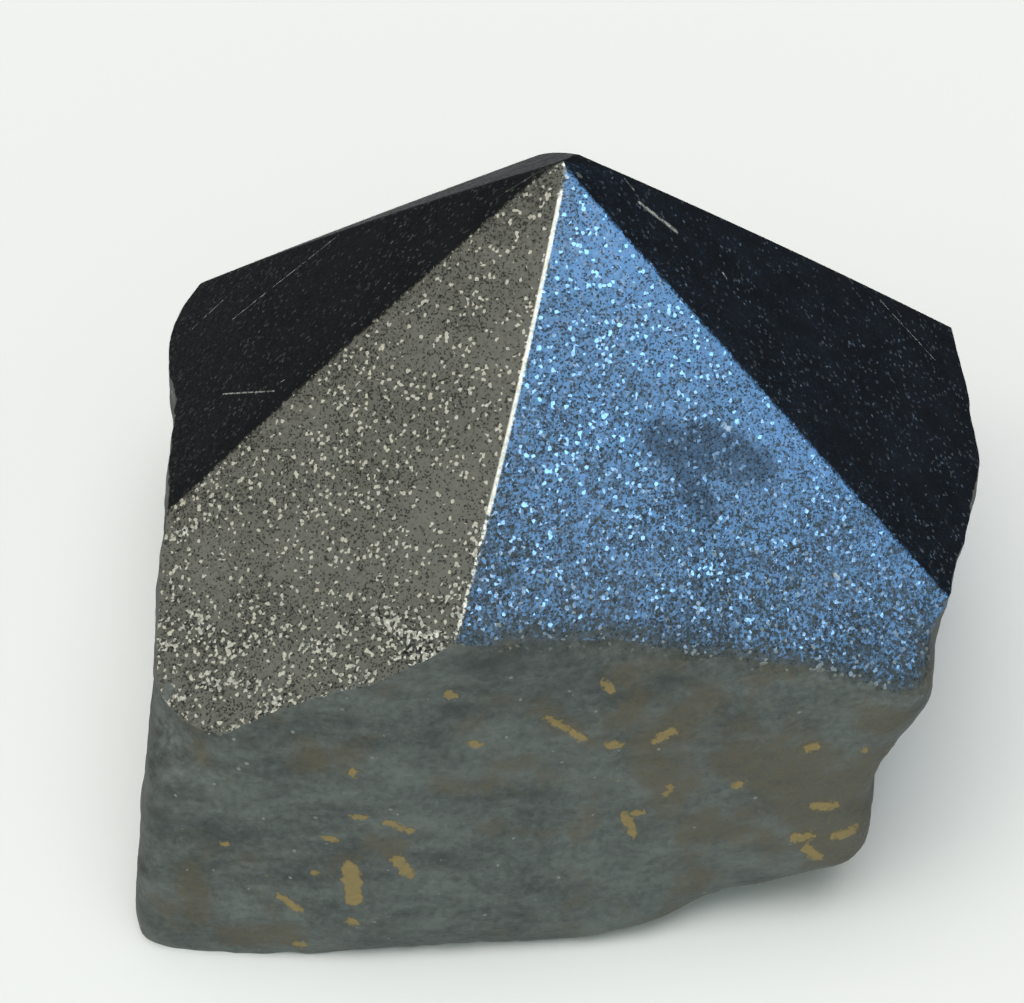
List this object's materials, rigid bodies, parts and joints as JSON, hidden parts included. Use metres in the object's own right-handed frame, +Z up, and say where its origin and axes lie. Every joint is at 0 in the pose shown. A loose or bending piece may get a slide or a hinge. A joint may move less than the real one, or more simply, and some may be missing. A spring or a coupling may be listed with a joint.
{
  "type": "hematite",
  "caption": "Block of raw hematite whose top is ground to a faceted satin point, with rough broken sides and a flat patch underneath to stand on.",
  "frame": {"origin": "middle of the stone's outline, on the plane of the flat patch that it stands on", "axes": "+Z up through the ground point, +X along the long side, -Y towards the broken front that the picture shows"},
  "size_m": [0.0748, 0.0652, 0.0575],
  "materials": {
    "hematite": "satin metallic grey on the ground point, dull and mottled with rust on the broken sides"
  },
  "bodies": {
    "root": {"hematite_stone": "hematite"}
  },
  "joints": []
}
